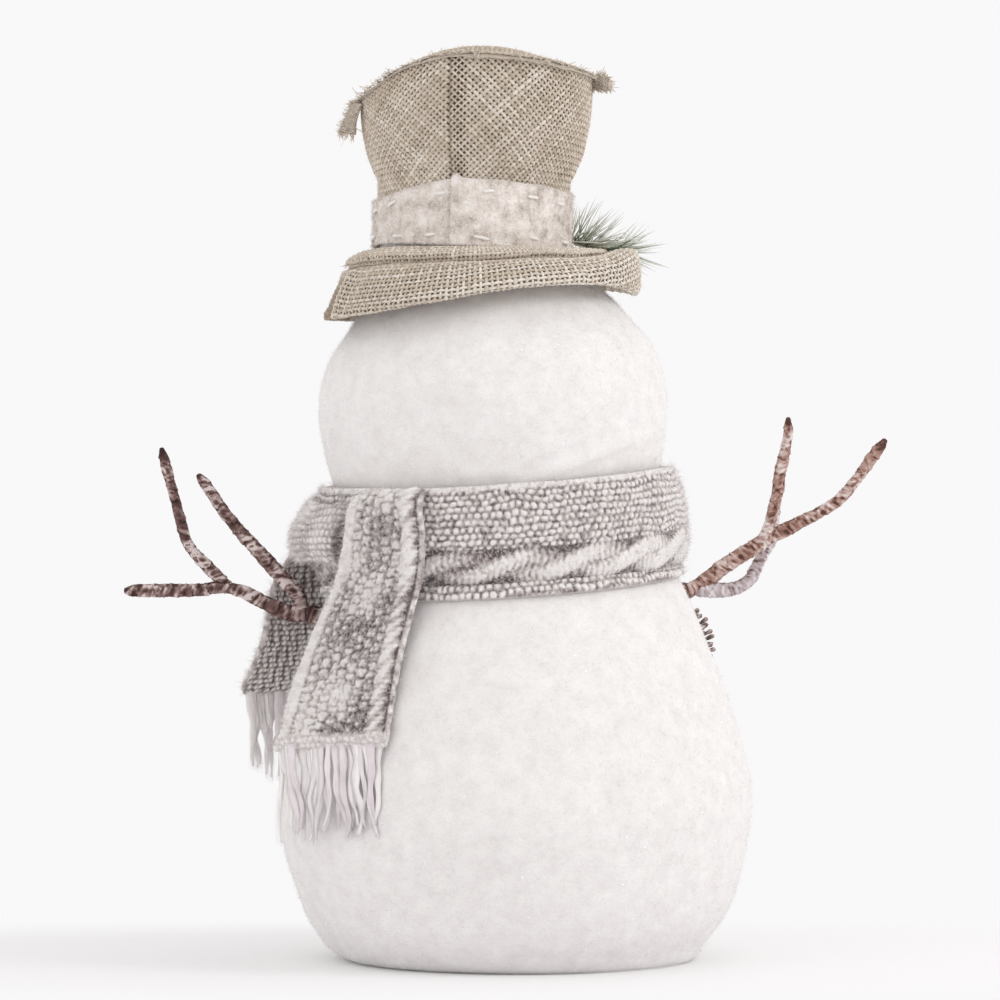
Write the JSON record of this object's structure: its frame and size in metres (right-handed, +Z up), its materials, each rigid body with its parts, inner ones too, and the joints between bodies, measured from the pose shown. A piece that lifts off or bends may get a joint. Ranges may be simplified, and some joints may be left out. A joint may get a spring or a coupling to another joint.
{
  "type": "stuffed snowman figure",
  "caption": "Stuffed white fleece snowman on a weighted base, with a burlap top hat, a knitted scarf with fringed tails, turning twig arms and a cone hung on twine.",
  "frame": {"origin": "middle of the flat base, on the surface that the figure stands on", "axes": "+Z is up; the face looks along -Y; the figure's left arm points along +X"},
  "size_m": [0.3845, 0.2487, 0.448],
  "materials": {
    "base_felt": "white needle felt, cut round",
    "board": "raw hardboard, unseen",
    "weight_bag": "sand in a woven cotton bag, unseen",
    "stuffing": "white polyester filling, unseen",
    "fleece": "brushed white fleece with fine glitter",
    "tie": "twisted cord under the scarf",
    "nose": "orange felt, sewn to a cone and stuffed",
    "eye": "black moulded domes",
    "coat_button": "dark stained wood, satin",
    "knit": "grey melange wool knitted in seed stitch with a cable",
    "yarn": "loose brushed yarn, white and lilac grey",
    "burlap": "plain woven jute, coarse, with raw frayed edges",
    "felt": "pale mottled wool felt with white running stitches",
    "pine_twig": "green brown twisted stem",
    "needles": "grey green needles with frosted tips",
    "twig": "brown paper wound on wire, rubbed with white frosting",
    "twine": "twisted jute twine",
    "cone": "dry brown cone scales with paler lips"
  },
  "bodies": {
    "root": {"base_felt": "base_felt", "base_board": "board", "weight_bag": "weight_bag", "body_filling": "stuffing", "body_cover": "fleece", "neck_tie": "tie", "head_filling": "stuffing", "head_cover": "fleece", "nose": "nose", "left_eye": "eye", "right_eye": "eye", "upper_coat_button": "coat_button", "lower_coat_button": "coat_button", "scarf_band": "knit", "scarf_knot": "knit", "scarf_front_tail": "knit", "scarf_rear_tail": "knit", "front_fringe": "yarn", "rear_fringe": "yarn", "hat_crown": "burlap", "hat_top": "burlap", "hat_filling": "stuffing", "hat_brim": "burlap", "hat_band": "felt", "pine_twig": "pine_twig", "pine_needles": "needles"},
    "left_arm": {"left_stem": "twig", "left_binding": "twig", "left_main_twig": "twig", "left_upper_twig": "twig", "left_finger_twig": "twig"},
    "right_arm": {"right_stem": "twig", "right_binding": "twig", "right_main_twig": "twig", "right_lower_twig": "twig", "right_finger_twig": "twig"},
    "pine_cone": {"twine": "twine", "cone_core": "cone", "cone_scales": "cone"}
  },
  "joints": [
    {"name": "left_arm_turn", "type": "hinge", "parent": "root", "child": "left_arm", "pos_m": [0.09959, -0.01905, 0.16538], "axis": [0.8753, -0.1801, 0.4489], "range_deg": [-30, 30]},
    {"name": "right_arm_turn", "type": "hinge", "parent": "root", "child": "right_arm", "pos_m": [-0.06962, -0.04608, 0.17393], "axis": [-0.7793, -0.4636, 0.4216], "range_deg": [-30, 30]},
    {"name": "cone_swing", "type": "hinge", "parent": "right_arm", "child": "pine_cone", "pos_m": [-0.07304, -0.04812, 0.17579], "axis": [-0.7793, -0.4636, 0.4216], "range_deg": [-35, 35]}
  ]
}
